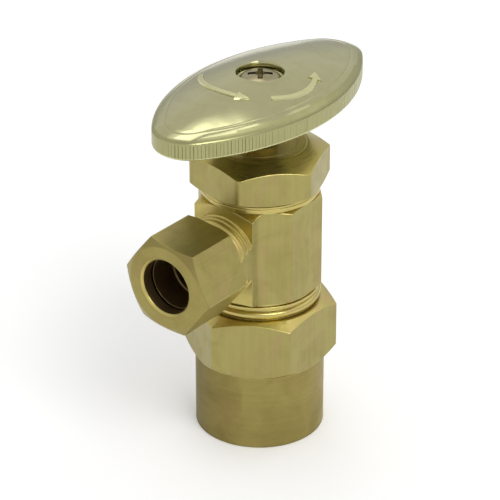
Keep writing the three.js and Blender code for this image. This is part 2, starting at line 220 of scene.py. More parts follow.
def polar_radius(outline, theta):
    """Distance from the axis to an outline, star-shaped about it, in each direction theta."""
    angle = np.arctan2(outline[:, 1], outline[:, 0]) % (2 * np.pi)
    start = int(angle.argmin())
    pts, angle = np.roll(outline, -start, 0), np.roll(angle, -start)
    pts = np.vstack([pts[-1:], pts, pts[:1]])
    angle = np.concatenate([[angle[-1] - 2 * np.pi], angle, [angle[0] + 2 * np.pi]])
    i = np.clip(np.searchsorted(angle, theta, side="right") - 1, 0, len(pts) - 2)
    a, b = pts[i], pts[i + 1]
    d = b - a
    c, s = np.cos(theta), np.sin(theta)
    return (a[:, 0] * d[:, 1] - a[:, 1] * d[:, 0]) / (c * d[:, 1] - s * d[:, 0])


def columns_for(outlines, count):
    """Even directions round the axis, with one more at every point of the outlines."""
    theta = [circle(count)]
    for o in outlines:
        theta.append(np.arctan2(o[:, 1], o[:, 0]) % (2 * np.pi))
    theta = np.sort(np.concatenate(theta))
    keep = np.concatenate([[True], np.diff(theta) > 1e-4])
    return theta[keep]


def thread_rows(theta, z0, z1, root, crest, pitch, per_turn=8, fade=0.8):
    """Rows of a right-hand helical thread between two heights; root and crest are radii. The flats
    at root and crest take 14 percent of the pitch each, and the thread fades in at both ends."""
    rows = []
    count = max(2, int(round((z1 - z0) / pitch * per_turn)))
    for z in np.linspace(z0, z1, count + 1):
        phase = (z / pitch - theta / (2 * np.pi)) % 1.0
        ridge = np.clip((np.abs(2 * phase - 1) - 0.14) / 0.72, 0, 1)
        ends = min(1.0, abs(z - z0) / fade, abs(z1 - z) / fade)
        rows.append((root + (crest - root) * ridge * ends, np.full_like(theta, z)))
    return rows


def finish_piece(obj, body, node, materials, classify=None):
    """Shading, materials (classify gives a face's, from its centre and normal) and place in the
    frame."""
    mesh = obj.data
    mesh.materials.clear()
    for m in materials:
        mesh.materials.append(m)
    bm = bmesh.new()
    bm.from_mesh(mesh)
    for f in bm.faces:
        f.smooth = True
        f.material_index = classify(f.calc_center_median() / MM, f.normal) if classify else 0
    for e in bm.edges:
        e.smooth = len(e.link_faces) != 2 or e.calc_face_angle(0.0) < SHARP_EDGE
    bm.to_mesh(mesh)
    bm.free()
    mod = obj.modifiers.new("normals", "WEIGHTED_NORMAL")
    mod.keep_sharp = True
    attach(obj, body)
    if node:
        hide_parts(node)


# ---- materials ------------------------------------------------------------------------------
MAP_RANGE = ("From Min", "From Max", "To Min", "To Max")


class Nodes:
    """Short forms for building a node tree."""

    def __init__(self, name):
        self.mat = bpy.data.materials.new(name)
        self.mat.use_nodes = True
        self.tree = self.mat.node_tree
        self.tree.nodes.clear()
        self.out = self.new("ShaderNodeOutputMaterial")
        self.bsdf = self.new("ShaderNodeBsdfPrincipled")
        self.link(self.bsdf.outputs["BSDF"], self.out.inputs["Surface"])

    def new(self, kind, **settings):
        node = self.tree.nodes.new(kind)
        for key, value in settings.items():
            setattr(node, key, value)
        return node

    def link(self, a, b):
        self.tree.links.new(a, b)

    def put(self, value, socket):
        if isinstance(value, (int, float, tuple)):
            socket.default_value = value
        else:
            self.link(value, socket)

    def math(self, operation, a, b=0.0, clamp=False):
        node = self.new("ShaderNodeMath", operation=operation, use_clamp=clamp)
        self.put(a, node.inputs[0])
        self.put(b, node.inputs[1])
        return node.outputs[0]

    def position(self):
        return self.new("ShaderNodeTexCoord").outputs["Object"]

    def millimetres(self):
        return self.scaled(self.position(), (1000.0, 1000.0, 1000.0))

    def scaled(self, vector, scale):
        node = self.new("ShaderNodeVectorMath", operation="MULTIPLY")
        self.link(vector, node.inputs[0])
        node.inputs[1].default_value = scale
        return node.outputs[0]

    def noise(self, vector, scale, detail=3.0, rough=0.5, distortion=0.0):
        node = self.new("ShaderNodeTexNoise")
        self.link(vector, node.inputs["Vector"])
        node.inputs["Scale"].default_value = scale
        node.inputs["Detail"].default_value = detail
        node.inputs["Roughness"].default_value = rough
        node.inputs["Distortion"].default_value = distortion
        return node.outputs[0]

    def ramp(self, value, low, high, to_low=0.0, to_high=1.0):
        node = self.new("ShaderNodeMapRange")
        self.link(value, node.inputs["Value"])
        for key, v in zip(MAP_RANGE, (low, high, to_low, to_high)):
            node.inputs[key].default_value = v
        return node.outputs[0]

    def mix(self, factor, a, b):
        node = self.new("ShaderNodeMix", data_type="RGBA")
        self.put(factor, node.inputs[0])
        for value, socket in ((a, node.inputs[6]), (b, node.inputs[7])):
            self.put(value, socket)
        return node.outputs[2]

    def edges(self, width):
        """Two factors: 1 on outer edges, for wear, and 1 in tight corners, for painted shade; width
        in millimetres.
        """
        bevel = self.new("ShaderNodeBevel", samples=4)
        bevel.inputs["Radius"].default_value = width * MM
        turn = self.new("ShaderNodeVectorMath", operation="DOT_PRODUCT")
        self.link(bevel.outputs[0], turn.inputs[0])
        self.link(self.new("ShaderNodeNewGeometry").outputs["Normal"], turn.inputs[1])
        hollow = self.new("ShaderNodeAmbientOcclusion", samples=4)
        hollow.inputs["Distance"].default_value = 3 * width * MM
        open_air = hollow.outputs["AO"]
        # an edge starts where the rounded normal leans 6 degrees away, and is full at 22
        edge = self.ramp(turn.outputs["Value"], 0.995, 0.93)
        # the second factor is painted shade: ambient occlusion darkens surfaces close to others
        return self.math("MULTIPLY", edge, self.ramp(open_air, 0.75, 0.95)), \
            self.ramp(open_air, 0.7, 0.2, 0.0, 0.7)

    def bump(self, height, strength, distance, normal=None):
        node = self.new("ShaderNodeBump")
        node.inputs["Strength"].default_value = strength
        node.inputs["Distance"].default_value = distance
        self.link(height, node.inputs["Height"])
        if normal is not None:
            self.link(normal, node.inputs["Normal"])
        return node.outputs[0]


def shade(colour, gain=1.0):
    """RGBA of a colour times a gain, which is one number or one for each channel."""
    gains = gain if isinstance(gain, tuple) else (gain,) * 3
    return tuple(a * b for a, b in zip(colour, gains)) + (1.0,)


def lay_coordinates(n, lay):
    """Object position in millimetres, stretched so that noise runs along the tool marks."""
    p = n.millimetres()
    if lay == "bar_z":
        return n.scaled(p, (1.0, 1.0, 0.06))
    if lay == "bar_y":
        return n.scaled(p, (1.0, 0.06, 1.0))
    split = n.new("ShaderNodeSeparateXYZ")
    n.link(p, split.inputs[0])
    x, y, z = split.outputs
    if lay == "turned_z":
        radius = n.math("SQRT", n.math("ADD", n.math("MULTIPLY", x, x), n.math("MULTIPLY", y, y)))
        along = z
        a, b = x, y
    else:
        dz = n.math("SUBTRACT", z, OUTLET_Z)
        radius = n.math("SQRT", n.math("ADD", n.math("MULTIPLY", x, x), n.math("MULTIPLY", dz, dz)))
        along = y
        a, b = x, dz
    join = n.new("ShaderNodeCombineXYZ")
    n.link(radius, join.inputs[0])
    n.link(along, join.inputs[1])
    n.link(n.math("MULTIPLY", n.math("ADD", a, b), 0.02), join.inputs[2])
    return join.outputs[0]


def brass(name, base, dark, rough, lay, marks=0.35, mottled=0.5, grain=0.25, painted_left_shade=0.0):
    """Bare machined brass: tool marks along the lay, faint stains, fine grain, brighter edges."""
    n = Nodes(name)
    p = n.millimetres()
    line = lay_coordinates(n, lay)
    fine_lines = n.noise(line, 9.0, 2.0, 0.6)
    broad_lines = n.noise(line, 1.6, 3.0, 0.5)
    stain = n.noise(p, 0.16, 5.0, 0.62, 0.6)
    speck = n.noise(p, 1.3, 4.0, 0.6)
    sand = n.noise(p, 7.0, 2.0, 0.5)
    # from base to dark: broad stains, small spots and the coarser tool marks
    amount = n.math("MULTIPLY", n.ramp(stain, 0.42, 0.68), mottled, clamp=True)
    spots = n.math("MULTIPLY", n.ramp(speck, 0.60, 0.74), 0.35 * mottled, clamp=True)
    tone = n.math("ADD", n.math("ADD", amount, spots),
                  n.math("MULTIPLY", n.ramp(broad_lines, 0.35, 0.65), 0.18), clamp=True)
    colour = n.mix(tone, shade(base), shade(dark))
    # pinker drifts, where the brass has lost a little zinc
    blush = n.noise(n.scaled(p, (1.0, 1.0, 0.4)), 0.33, 4.0, 0.6, 0.5)
    pink = shade(base, (1.03, 0.88, 1.1))
    colour = n.mix(n.ramp(blush, 0.52, 0.72, 0.0, 0.75), colour, pink)
    if painted_left_shade:
        # painted shade: darker towards the left of the outlet, away from the light
        side = n.new("ShaderNodeVectorMath", operation="DOT_PRODUCT")
        n.link(p, side.inputs[0])
        side.inputs[1].default_value = (-0.79, -0.61, 0.0)
        side = n.math("ADD", side.outputs["Value"], n.math("MULTIPLY", stain, 5.0))
        colour = n.mix(n.math("MULTIPLY", n.ramp(side, 5.0, 13.0), painted_left_shade), colour,
                       shade(dark, 0.65))
    # paler worn edges, and painted shade that darkens tight corners
    worn, painted_corner_shade = n.edges(0.25)
    worn = n.math("MULTIPLY", worn, n.ramp(speck, 0.35, 0.6, 0.15, 0.7))
    colour = n.mix(worn, colour, shade(base, (1.02, 1.04, 1.25)))
    colour = n.mix(painted_corner_shade, colour, shade(dark, 0.55))
    n.link(colour, n.bsdf.inputs["Base Color"])
    n.bsdf.inputs["Metallic"].default_value = 1.0
    streaks = n.math("MULTIPLY", n.ramp(fine_lines, 0.3, 0.7), 0.10)
    n.link(n.math("ADD", n.math("ADD", streaks, n.math("MULTIPLY", tone, 0.10)), rough),
           n.bsdf.inputs["Roughness"])
    height = n.math("ADD", n.math("MULTIPLY", fine_lines, marks),
                    n.math("MULTIPLY", sand, grain))
    wave = n.bump(broad_lines, 0.18, 0.00012)
    n.link(n.bump(height, 0.35, 0.00006, wave), n.bsdf.inputs["Normal"])
    return n.mat


def polished(name, base, dark, rough):
    """Bright plating over a casting: gentle waviness, hairlines and a few dull patches."""
    n = Nodes(name)
    p = n.millimetres()
    wave = n.noise(p, 0.11, 2.0, 0.5)
    haze = n.noise(p, 0.35, 5.0, 0.6, 0.4)
    hair = n.noise(n.scaled(p, (1.0, 0.08, 1.0)), 6.0, 2.0, 0.6)
    pits = n.noise(p, 3.2, 2.0, 0.5)
    tone = n.math("MULTIPLY", n.ramp(haze, 0.45, 0.75), 0.55, clamp=True)
    colour = n.mix(tone, shade(base), shade(dark))
    worn, painted_corner_shade = n.edges(0.15)
    worn = n.math("MULTIPLY", worn, n.ramp(haze, 0.35, 0.6, 0.3, 0.9))
    colour = n.mix(worn, colour, shade(base, 1.35))
    # painted shade: darker in tight corners
    colour = n.mix(painted_corner_shade, colour, shade(dark, 0.6))
    n.link(colour, n.bsdf.inputs["Base Color"])
    n.bsdf.inputs["Metallic"].default_value = 1.0
    r = n.math("ADD", n.math("MULTIPLY", tone, 0.10), n.math("MULTIPLY", hair, 0.05))
    n.link(n.math("ADD", r, rough), n.bsdf.inputs["Roughness"])
    big = n.bump(wave, 0.25, 0.0004)
    small = n.math("ADD", n.math("MULTIPLY", hair, 0.25), n.math("MULTIPLY", pits, 0.3))
    n.link(n.bump(small, 0.2, 0.00004, big), n.bsdf.inputs["Normal"])
    return n.mat


def soft_solid(name, base, dark, rough, grain=6.0):
    """Rubber, fibre or graphite: matt, slightly mottled, fine surface grain."""
    n = Nodes(name)
    p = n.millimetres()
    cloud = n.noise(p, 0.7, 4.0, 0.6)
    fine = n.noise(p, grain, 3.0, 0.6)
    colour = n.mix(n.ramp(cloud, 0.35, 0.65), shade(base), shade(dark))
    worn, _ = n.edges(0.12)
    colour = n.mix(worn, colour, shade(base, 1.6))
    n.link(colour, n.bsdf.inputs["Base Color"])
    n.link(n.ramp(fine, 0.3, 0.7, rough - 0.08, rough + 0.08), n.bsdf.inputs["Roughness"])
    n.link(n.bump(fine, 0.4, 0.00005), n.bsdf.inputs["Normal"])
    return n.mat


BRASS, BRASS_DARK = (0.375, 0.328, 0.118), (0.27, 0.226, 0.072)
NUT, NUT_DARK = (0.45, 0.388, 0.132), (0.31, 0.252, 0.078)
FACE, FACE_DARK = (0.32, 0.27, 0.087), (0.24, 0.193, 0.057)
DEEP, DEEP_DARK = (0.56, 0.475, 0.165), (0.40, 0.325, 0.1)
CONE, CONE_DARK = (0.55, 0.465, 0.155), (0.41, 0.34, 0.1)
SATIN, SATIN_DARK = (0.35, 0.29, 0.096), (0.26, 0.207, 0.062)
mat_bar = brass("brass_bar", BRASS, BRASS_DARK, 0.31, "bar_z")
mat_turned = brass("brass_turned", DEEP, DEEP_DARK, 0.2, "turned_z", marks=0.4)
mat_cone = brass("brass_cone", CONE, CONE_DARK, 0.25, "turned_z", marks=0.15, mottled=0.3)
# the socket's brass gets painted shade on its left side
mat_socket = brass("brass_socket", SATIN, SATIN_DARK, 0.44, "turned_z", marks=0.3, grain=0.5,
                   painted_left_shade=0.75)
mat_bar_outlet = brass("brass_bar_outlet", NUT, NUT_DARK, 0.31, "bar_y")
mat_face_outlet = brass("brass_nut_face", FACE, FACE_DARK, 0.28, "turned_y", marks=0.6)
mat_turned_outlet = brass("brass_turned_outlet", CONE, CONE_DARK, 0.33, "turned_y", marks=0.4)
# darker brass for the bores, the nut's hole and the sleeve: painted shade of the recesses
mat_bore_painted_shade = brass("brass_bore_painted_shade", (0.33, 0.23, 0.10), (0.16, 0.105, 0.045), 0.36, "turned_y",
                 marks=0.5)
mat_stem = brass("brass_stem", (0.50, 0.41, 0.16), BRASS_DARK, 0.22, "turned_z", mottled=0.25)
mat_handle = polished("polished_plating", (0.445, 0.43, 0.235), (0.36, 0.345, 0.17), 0.09)
# the handle's plating made darker for the shoulder and fluted rim: painted shade
mat_rim_painted_shade = polished("rim_plating_painted_shade", (0.36, 0.35, 0.168), (0.295, 0.283, 0.125), 0.26)
# paler plating: the turn arrows' own colour, and a painted highlight on the rim's lower lip
mat_mark_and_lip_highlight = polished("mark_and_lip_highlight_plating", (0.62, 0.61, 0.33), (0.5, 0.48, 0.2), 0.22)
mat_screw = polished("screw_plating", (0.33, 0.295, 0.17), (0.16, 0.125, 0.07), 0.27)
mat_rubber = soft_solid("washer_rubber", (0.012, 0.012, 0.013), (0.03, 0.03, 0.031), 0.62)
mat_packing = soft_solid("packing", (0.03, 0.03, 0.033), (0.07, 0.07, 0.075), 0.5)
mat_fibre = soft_solid("gasket_fibre", (0.20, 0.055, 0.03), (0.11, 0.03, 0.02), 0.8, 3.0)


# ---- valve body -----------------------------------------------------------------------------
def body_plan():
    """Outline of the eight-sided middle, with the flat front that runs into the arm."""
    side = MID_FLAT * math.tan(math.pi / 8)
    root = MID_FLAT * math.sqrt(2) - ARM_HALF
    right = [(ARM_HALF, -MID_FLAT), (ARM_HALF, -root), (MID_FLAT, -side), (MID_FLAT, side),
             (side, MID_FLAT)]
    radii = [0.12, ARM_FILLET, 0.18, 0.18, 0.18]
    left = [(-x, y) for x, y in reversed(right)]
    return rounded(right + left, radii + radii[::-1], arc=7)


def body_shell():
    """Everything of the body that goes round its axis, inside and out, as one closed skin."""
    hexagon = hexagon_plan(HEX_AF, 30, 0.35)
    plan = body_plan()
    theta = columns_for([hexagon, plan], 288)
    hex_r, mid_r = polar_radius(hexagon, theta), polar_radius(plan, theta)
    corner = hexagon_corner(HEX_AF)
    lower = (HEX_FLAT_Z0 - HEX_Z0) / (corner - SOCKET_R)
    upper = (HEX_Z1 - HEX_FLAT_Z1) / (corner - HEX_TOP_R)
    over = np.maximum(mid_r - NECK_R, 0)
    beads = [(10.35, 0.02, 0.06), (10.35, 0.2, 0.06), (10.85, 0.5, 0.35), (10.85, 1.35, 0.35),
             (10.15, 1.7, 0.08), (10.15, 2.0, 0.08), (10.5, 2.1, 0.10), (10.5, 2.5, 0.10),
             (10.1, 2.65, 0.05)]
    outer = [
        (SOCKET_R, 0, 0.22), (SOCKET_R, HEX_Z0, 0.05),
        (hex_r, HEX_Z0 + lower * (hex_r - SOCKET_R), 0.14),
        (hex_r, HEX_Z1 - upper * (hex_r - HEX_TOP_R), 0.14),
        (HEX_TOP_R, HEX_Z1, 0.10), *[(r, HEX_Z1 + up, e) for r, up, e in beads],
        (10.1, MID_Z0, 0.03),
        (np.minimum(mid_r, NECK_R), MID_Z0, 0.0),
        (mid_r, MID_Z0 + 0.3 * over, 0.10), (mid_r, MID_Z1 - 0.55 * over, 0.12),
        (np.minimum(mid_r, NECK_R), MID_Z1, 0.0), (NECK_R - 0.15, MID_Z1 + 0.02, 0.03),
        (NECK_R - 0.15, MID_Z1 + 0.14, 0.03), (NECK_R, MID_Z1 + 0.2, 0.04),
        (NECK_R, NECK_Z, 0.14), (RECESS_R, NECK_Z, 0.08), (RECESS_R, RECESS_Z, 0.05),
    ]
    thread_r = BONNET_THREAD_R + GAP
    rows = soften([(SOCKET_BORE_R + 0.9, 0, 0)] + outer + [(thread_r, RECESS_Z, 0)], theta,
                  closed=False)
    rows += thread_rows(theta, RECESS_Z, CHAMBER_TOP + 0.45, thread_r, BONNET_THREAD_R + 0.75,
                        BONNET_PITCH, 6)[1:-1]
    inner = [
        (thread_r, CHAMBER_TOP + 0.4, 0), (CHAMBER_R, CHAMBER_TOP, 0.1),
        (CHAMBER_R, CHAMBER_FLOOR, 0.2), (SEAT_R + 0.4, CHAMBER_FLOOR, 0.1), (SEAT_R, SEAT_Z, 0.1),
        (PORT_R, SEAT_Z, 0.15), (PORT_R, SOCKET_DEPTH + 2.9, 0.1),
        (SOCKET_BORE_R - 0.2, SOCKET_DEPTH, 0.05), (SOCKET_BORE_R + 0.2, SOCKET_DEPTH - 0.4, 0),
    ]
    rows += soften(inner, theta, closed=False)
    rows += thread_rows(theta, SOCKET_DEPTH - 0.5, 0.9, SOCKET_BORE_R, SOCKET_BORE_R + 1.0,
                        INLET_PITCH, 8, 1.2)
    return around("valve_body_shell", rows, theta)


def outlet_arm():
    theta = circle(192)
    # the neck is cut to the width of the bar on its left and right
    slab = ARM_HALF / np.maximum(np.abs(np.cos(theta)), 1e-6)
    neck = [(7.3, ARM_ROOT, 0), (7.3, 10.7, 0.08), (7.0, 10.85, 0.05), (7.0, 11.2, 0.05),
            (7.15, 11.3, 0.06), (7.15, 11.7, 0.06), (6.85, 11.85, 0.05), (6.85, 12.3, 0.05),
            (7.0, 12.4, 0.06), (7.0, 12.8, 0.08), (6.55, 13.2, 0.1), (6.55, 13.7, 0.1)]
    rows = [(np.minimum(r, slab), z) for r, z in soften(neck, theta, closed=False)]
    spud = [(6.55, 13.72, 0), (SPUD_R - 0.5, 13.8, 0.05)]
    rows += soften(spud, theta, closed=False)
    rows += thread_rows(theta, 13.85, SPUD_END - 0.25, SPUD_R - 0.55, SPUD_R, SPUD_PITCH, 10, 0.35)
    rows += [(np.full_like(theta, SPUD_R - 0.3), np.full_like(theta, SPUD_END)),
             (np.zeros_like(theta), np.full_like(theta, SPUD_END))]
    rows = [(np.zeros_like(theta), np.full_like(theta, ARM_ROOT))] + rows
    return around("outlet_arm", rows, theta, axis_outlet, closed=False)


def outlet_bore():
    nodes = [(0, 0, 0), (WATERWAY_R, 0, 0), (WATERWAY_R, TUBE_STOP, 0.05),
             (TUBE_R, TUBE_STOP, 0.05), (TUBE_R, SPUD_END - 1.65, 0.08),
             (MOUTH_R, SPUD_END, 0), (MOUTH_R, SPUD_END + 1, 0),
             (0, SPUD_END + 1, 0)]
    return turned("outlet_bore", nodes, 128, axis_outlet, closed=False)


def body_region(c, n):
    """0 bar stock, 1 turned, 2 turned about the outlet, 3 bore, 4 socket, 5 cones."""
    depth, off = -c.y, math.hypot(c.x, c.z - OUTLET_Z)
    mouth = TUBE_R + 0.25
    bar_side = abs(n.x) > 0.97 and abs(c.x) > ARM_HALF - 0.5
    if depth > ARM_ROOT + 1.0 and off < 7.5 and not bar_side:
        if off < mouth or depth > MID_FLAT - 0.02 or abs(n.y) < 0.5:
            # neck, groove and thread are turned; the spud's end and its inside are bore
            return 2 if off > 6.7 or depth < 17.5 and off > mouth else 3
    r = math.hypot(c.x, c.y)
    upright = abs(n.z) < 0.2
    if upright and HEX_Z0 < c.z < HEX_Z1 and r > 11.7:
        return 0
    if n.y < -0.97 and abs(c.x) < ARM_HALF - 0.1 and c.z > MID_Z0:
        return 2
    if HEX_FLAT_Z1 - 1.5 < c.z < HEX_Z1 + 0.1 and 0.2 < n.z < 0.95:
        return 5
    if upright and MID_Z0 < c.z < MID_Z1 and r > MID_FLAT - 0.05:
        return 0
    if r < 9.2 and c.z < NECK_Z:
        return 3
    if c.z > MID_Z1 - 2.5 and depth < 9.5:
        return 5
    return 4 if c.z < HEX_Z0 - 0.1 and r > 10.6 and upright else 1


def make_body():
    obj = body_shell()
    cut(obj, outlet_arm(), "UNION")
    cut(obj, outlet_bore(), "DIFFERENCE")
    obj.name = "brass_body"
    finish_piece(obj, "body", "valve_body",
                 [mat_bar, mat_turned, mat_turned_outlet, mat_bore_painted_shade, mat_socket, mat_cone],
                 body_region)


# ---- bonnet, gland, packing -----------------------------------------------------------------
def make_bonnet():
    hexagon = hexagon_plan(BONNET_AF, BONNET_TURN, 0.05)
    theta = columns_for([hexagon], 240)
    r = np.minimum(polar_radius(hexagon, theta), BONNET_CORNER_R)
    low = 47.8 + (r - BONNET_COLLAR_R) * 0.9 / (BONNET_CORNER_R - BONNET_COLLAR_R)
    high = BONNET_TOP - (r - BONNET_FACE_R) * 0.47
    nodes = [
        (10.5, 47.25, 0.08), (10.5, 47.6, 0.08), (10.15, 47.7, 0.04), (10.15, 47.85, 0.04),
        (BONNET_COLLAR_R, 47.8, 0.0), (r, low, 0.12), (r, high, 0.14),
        (BONNET_FACE_R, BONNET_TOP, 0.18),
        (8.2, BONNET_TOP, 0.05), (8.05, BONNET_TOP + 0.12, 0.05),
        (PACKING_R, BONNET_TOP + 0.12, 0.08), (PACKING_R, PACKING_FLOOR, 0.1),
        (STEM_THREAD_R + GAP, PACKING_FLOOR, 0.1), (STEM_THREAD_R + GAP, BONNET_FOOT, 0.15),
        (BONNET_THREAD_R - 0.6, BONNET_FOOT, 0.08),
    ]
    rows = soften(nodes, theta, closed=False)
    rows += thread_rows(theta, 41.9, 46.9, BONNET_THREAD_R - 0.5, BONNET_THREAD_R, BONNET_PITCH, 6)
    obj = around("brass_bonnet", rows, theta)

    def region(c, n):
        return 0 if abs(n.z) < 0.2 and math.hypot(c.x, c.y) > 10.9 else 1
    finish_piece(obj, "body", "bonnet", [mat_bar, mat_cone], region)


def make_bonnet_trim():
    """What the bonnet holds: gasket, packing washer, packing and gland, from the bottom up."""
    for name, node, slot, material, profile in (
            ("fibre_gasket", "bonnet_gasket", "gasket_fibre", mat_fibre,
             flat_ring(8.65, 9.3, 46.3, 46.95, 0.05)),
            ("brass_packing_washer", "packing_washer", "turned_brass", mat_stem,
             flat_ring(3.4, 6.2, 51.1, 51.6, 0.05)),
            ("graphite_packing", "packing_ring", "packing", mat_packing,
             flat_ring(3.4, 6.2, 51.9, 53.7, 0.3))):
        finish_piece(turned(name, profile), "body", node, [material])
    gland = [(3.16, 54.0, 0.1), (6.46, 54.0, 0.1), (6.46, 55.3, 0.1), (3.16, 55.3, 0.12)]
    obj = turned("brass_gland", gland)
    cut(obj, box("slot", (-8, -0.6, 55.05), (8, 0.6, 56), 110), "DIFFERENCE")
    finish_piece(obj, "body", "gland_ring", [mat_cone])


# ---- stem and seat --------------------------------------------------------------------------
def make_stem():
    theta = circle(128)
    foot = [(0, 35.8, 0), (2.9, 35.8, 0.12), (2.9, 36.95, 0.05),
            (STEM_THREAD_R - 0.55, 36.95, 0.05)]
    rows = soften(foot, theta, closed=False)
    rows += thread_rows(theta, 37.05, 46.1, STEM_THREAD_R - 0.7, STEM_THREAD_R, STEM_PITCH, 10, 0.5)
    shaft = [(STEM_THREAD_R - 0.7, 46.2, 0.05), (STEM_R, 46.4, 0.05), (STEM_R, 57.0, 0.08),
             (2.65, 57.3, 0)]
    rows += soften(shaft, theta, closed=False)
    teeth = SPLINE_R + SPLINE_DEPTH * np.clip(1.6 * np.cos(SPLINE_TEETH * theta), -1, 1)
    for z in (SPLINE_Z0, SPLINE_Z1):
        rows.append((teeth, np.full_like(theta, z)))
    rows.append((teeth - 0.25, np.full_like(theta, 64.8)))
    rows.append((np.zeros_like(theta), np.full_like(theta, 64.8)))
    obj = around("brass_stem", rows, theta, closed=False)
    for low, high in ((35, 39.2), (57, 66)):
        cut(obj, turned("tap", centred(TAP_R, low, high), 48, closed=False), "DIFFERENCE")
    finish_piece(obj, "stem_and_handle", "stem", [mat_stem])


def make_seat_pieces():
    cup = [(1.95, 34.6, 0.05), (5.3, 34.6, 0.05), (5.3, 33.4, 0.08), (5.7, 33.4, 0.08),
           (5.7, 36.7, 0.3), (3.2, 36.7, 0.1), (3.2, 35.5, 0.05), (1.95, 35.5, 0.05)]
    finish_piece(turned("brass_seat_cup", cup), "seat_disc", "seat_holder",
                 [mat_stem])
    washer = [(1.95, 32.3, 0.12), (5.0, 32.3, 0.3), (5.0, 34.3, 0.12), (1.95, 34.3, 0.12)]
    finish_piece(turned("rubber_seat_washer", washer), "seat_disc", "seat_washer",
                 [mat_rubber])
    screw = [(0, 31.0, 0), (2.3, 31.0, 0.3), (2.7, 31.4, 0.2), (2.7, 32.0, 0.06),
             (SCREW_SHANK_R, 32.0, 0.05), (SCREW_SHANK_R, 38.4, 0.2), (0, 38.9, 0)]
    obj = turned("brass_washer_screw", screw, 96, closed=False)
    cut(obj, box("slot", (-4, -0.35, 30.5), (4, 0.35, 31.5)), "DIFFERENCE")
    finish_piece(obj, "stem_and_handle", "washer_screw", [mat_stem])


# ---- outlet nut and sleeve ------------------------------------------------------------------
def make_outlet():
    hexagon = hexagon_plan(NUT_AF, NUT_TURN, 0.22)
    theta = columns_for([hexagon], 216)
    r = polar_radius(hexagon, theta)
    land = hexagon_corner(NUT_AF) - NUT_BEVEL
    front = NUT_FRONT - np.maximum(r - NUT_FACE_R, 0) * 0.5
    back = NUT_BACK + np.maximum(r - land, 0) * 0.62
    inside = SPUD_R + GAP
    nodes = [
        (inside + 0.3, NUT_BACK, 0.08), (np.minimum(r, land), NUT_BACK, 0), (r, back, 0.10),
        (r, front, 0.14), (NUT_FACE_R, NUT_FRONT, 0.12), (TUBE_R + 0.4, NUT_FRONT, 0.08),
        (TUBE_R, NUT_FRONT - 0.4, 0.1), (TUBE_R, NUT_THROAT, 0.05), (5.3, NUT_THROAT, 0.05),
        (6.3, 22.6, 0.1),
        (inside, 21.6, 0.1),
    ]
    rows = soften(nodes, theta, closed=False)
    rows += thread_rows(theta, 21.4, NUT_BACK + 0.4, inside, inside + 0.35, SPUD_PITCH, 6)
    obj = around("brass_outlet_nut", rows, theta, axis_outlet)

    def region(c, n):
        # mouth chamfer, hole, flats, then the turned faces
        off = math.hypot(c.x, c.z - OUTLET_Z)
        if off < TUBE_R + 0.38 and -c.y > NUT_FRONT - 0.42:
            return 3
        if off < 5.6 and -c.y < NUT_FRONT - 0.5:
            return 2
        return 0 if abs(n.y) < 0.2 and off > 7.6 else 1
    finish_piece(obj, "outlet_nut", "compression_nut",
                 [mat_bar_outlet, mat_face_outlet, mat_bore_painted_shade, mat_turned_outlet], region)
    # the sleeve inside the nut takes the bore's darker brass, painted shade
    sleeve = [(4.8, 18.5, 0.06), (5.15, 18.5, 0.06), (5.85, 19.7, 0.3), (5.85, 21.9, 0.3),
              (5.0, 23.6, 0.06), (4.8, 23.6, 0.06)]
    finish_piece(turned("brass_sleeve", sleeve, 128, axis_outlet), "sleeve", "ferrule",
                 [mat_bore_painted_shade])


# ---- handle ---------------------------------------------------------------------------------
def handle_outline(parts):
    """Points and outward normals of the four-arc oval, at parts of the way round."""
    a, b, e = HANDLE_A, HANDLE_B, HANDLE_END_R
    long_r = ((a - e) ** 2 + b * b - e * e) / (2 * (b - e))
    meet = math.atan2(long_r - b, a - e)
    end_len = e * meet
    quarter = end_len + long_r * (math.pi / 2 - meet)
    s = parts * 4 * quarter
    q = np.minimum((s // quarter).astype(int), 3)
    t = np.where(q % 2 == 1, quarter - (s - q * quarter), s - q * quarter)
    small = t < end_len
    angle = np.where(small, t / e, meet + (t - end_len) / long_r)
    radius = np.where(small, e, long_r)
    x = np.where(small, a - e, 0) + radius * np.cos(angle)
    y = np.where(small, 0, b - long_r) + radius * np.sin(angle)
    sx, sy = np.where((q == 0) | (q == 3), 1, -1), np.where(q < 2, 1, -1)
    return np.stack([x * sx, y * sy], -1), np.stack([np.cos(angle) * sx, np.sin(angle) * sy], -1)


